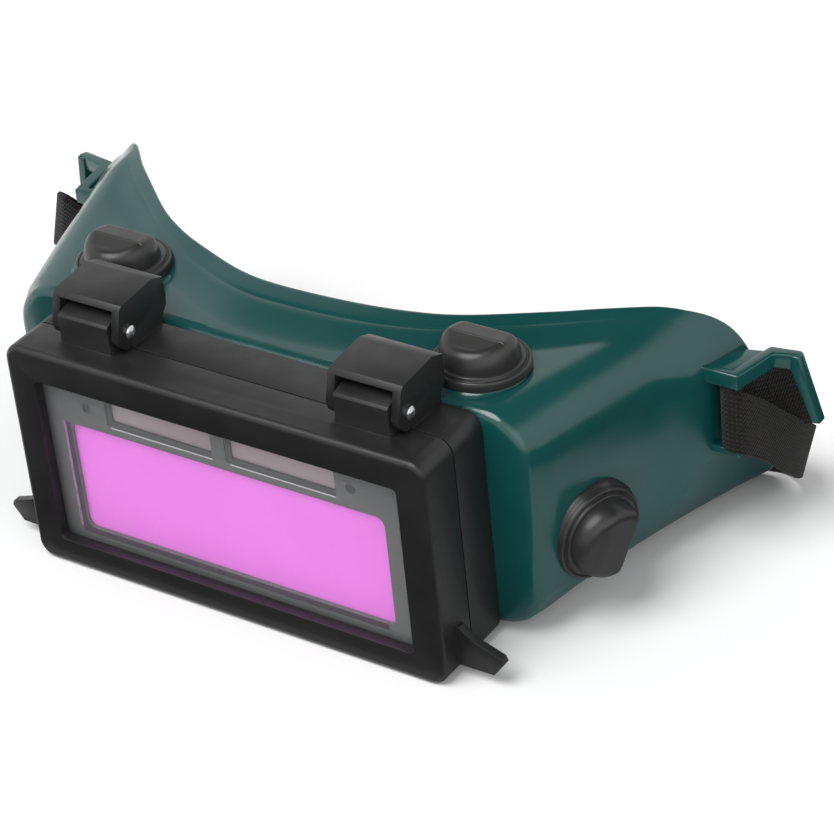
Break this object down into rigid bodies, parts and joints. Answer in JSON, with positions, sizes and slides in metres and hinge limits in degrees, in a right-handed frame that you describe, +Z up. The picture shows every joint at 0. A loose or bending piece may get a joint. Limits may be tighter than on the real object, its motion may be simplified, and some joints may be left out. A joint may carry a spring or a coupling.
{
  "type": "welding goggles",
  "caption": "Soft ventilated goggles whose hinged front cover carries an auto-darkening filter over a fixed clear lens, held on by a webbing strap with a slider.",
  "frame": {"origin": "middle of the goggles' bounding box in plan, on the surface they stand on", "axes": "+X towards the wearer's left, +Y from the flip cover towards the wearer, +Z up"},
  "size_m": [0.224, 0.1124, 0.0761],
  "materials": {
    "shroud_green": "glossy moulded soft plastic, dark bottle green",
    "frame_black": "fine satin charcoal moulded plastic",
    "gasket_black": "matt black rubber",
    "clear_lens": "clear polished safety lens",
    "cover_plate": "clear thin protective plate",
    "filter_grey": "smooth mid grey moulded plastic",
    "filter_glass": "magenta reflective interference filter",
    "lcd_glass": "liquid crystal cell",
    "board_green": "circuit board laminate",
    "solar_cell": "brownish grey silicon behind glass",
    "sensor_dark": "dark phototransistor lens",
    "pin_steel": "bright plated steel",
    "vent_black": "glossy black moulded plastic",
    "webbing": "woven black elastic webbing",
    "slider_black": "black moulded plastic"
  },
  "bodies": {
    "goggles": {"goggle_body": "shroud_green", "rear_frame": "frame_black", "frame_retainer": "frame_black", "lens_gasket": "gasket_black", "clear_lens": "clear_lens", "lens_clip": "frame_black", "hinge_pin_left": "pin_steel", "hinge_pin_right": "pin_steel", "head_strap": "webbing", "vent_seat_top_left": "vent_black", "vent_cap_top_left": "vent_black", "vent_seat_top_right": "vent_black", "vent_cap_top_right": "vent_black", "vent_seat_low_left": "vent_black", "vent_cap_low_left": "vent_black", "vent_seat_low_right": "vent_black", "vent_cap_low_right": "vent_black"},
    "cover": {"flip_cover": "frame_black", "cover_plate": "cover_plate", "filter_bezel": "filter_grey", "filter_back": "frame_black", "filter_glass": "filter_glass", "lcd_cell_front": "lcd_glass", "lcd_cell_rear": "lcd_glass", "circuit_board": "board_green", "solar_cell_left": "solar_cell", "solar_cell_right": "solar_cell", "light_sensor_left": "sensor_dark", "light_sensor_right": "sensor_dark", "filter_clip": "frame_black"},
    "slider": {"strap_slider": "slider_black"}
  },
  "joints": [
    {"name": "cover_flip", "type": "hinge", "parent": "goggles", "child": "cover", "pos_m": [0, -0.04445, 0.0673], "axis": [-1, 0, 0], "range_deg": [0, 95]},
    {"name": "strap_slide", "type": "slide", "parent": "goggles", "child": "slider", "axis": [1, 0, 0], "range_m": [-0.008, 0.008]}
  ]
}
